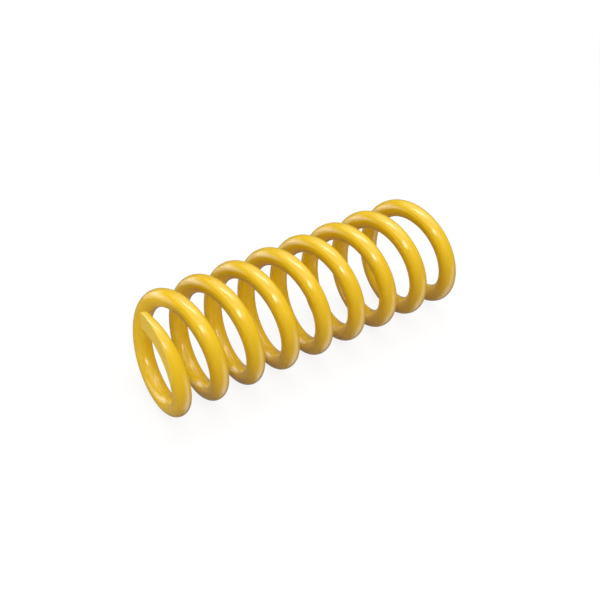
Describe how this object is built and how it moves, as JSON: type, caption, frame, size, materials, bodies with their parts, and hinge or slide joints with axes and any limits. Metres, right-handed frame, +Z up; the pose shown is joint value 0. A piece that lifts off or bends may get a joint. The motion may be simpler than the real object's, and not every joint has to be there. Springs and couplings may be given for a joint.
{
  "type": "shock absorber spring",
  "caption": "Open-wound right-hand compression spring of round wire in glossy yellow paint, with flat ground ends that bear on the seats of a shock absorber.",
  "frame": {"origin": "middle of the spring's underside, at half its length, on the surface that it lies on", "axes": "+X along the coil's axis, towards the far ground end; +Y across it; +Z up"},
  "size_m": [0.148, 0.051, 0.051],
  "materials": {
    "yellow_paint": "gloss"
  },
  "bodies": {
    "root": {"coil_spring": "yellow_paint"}
  },
  "joints": []
}
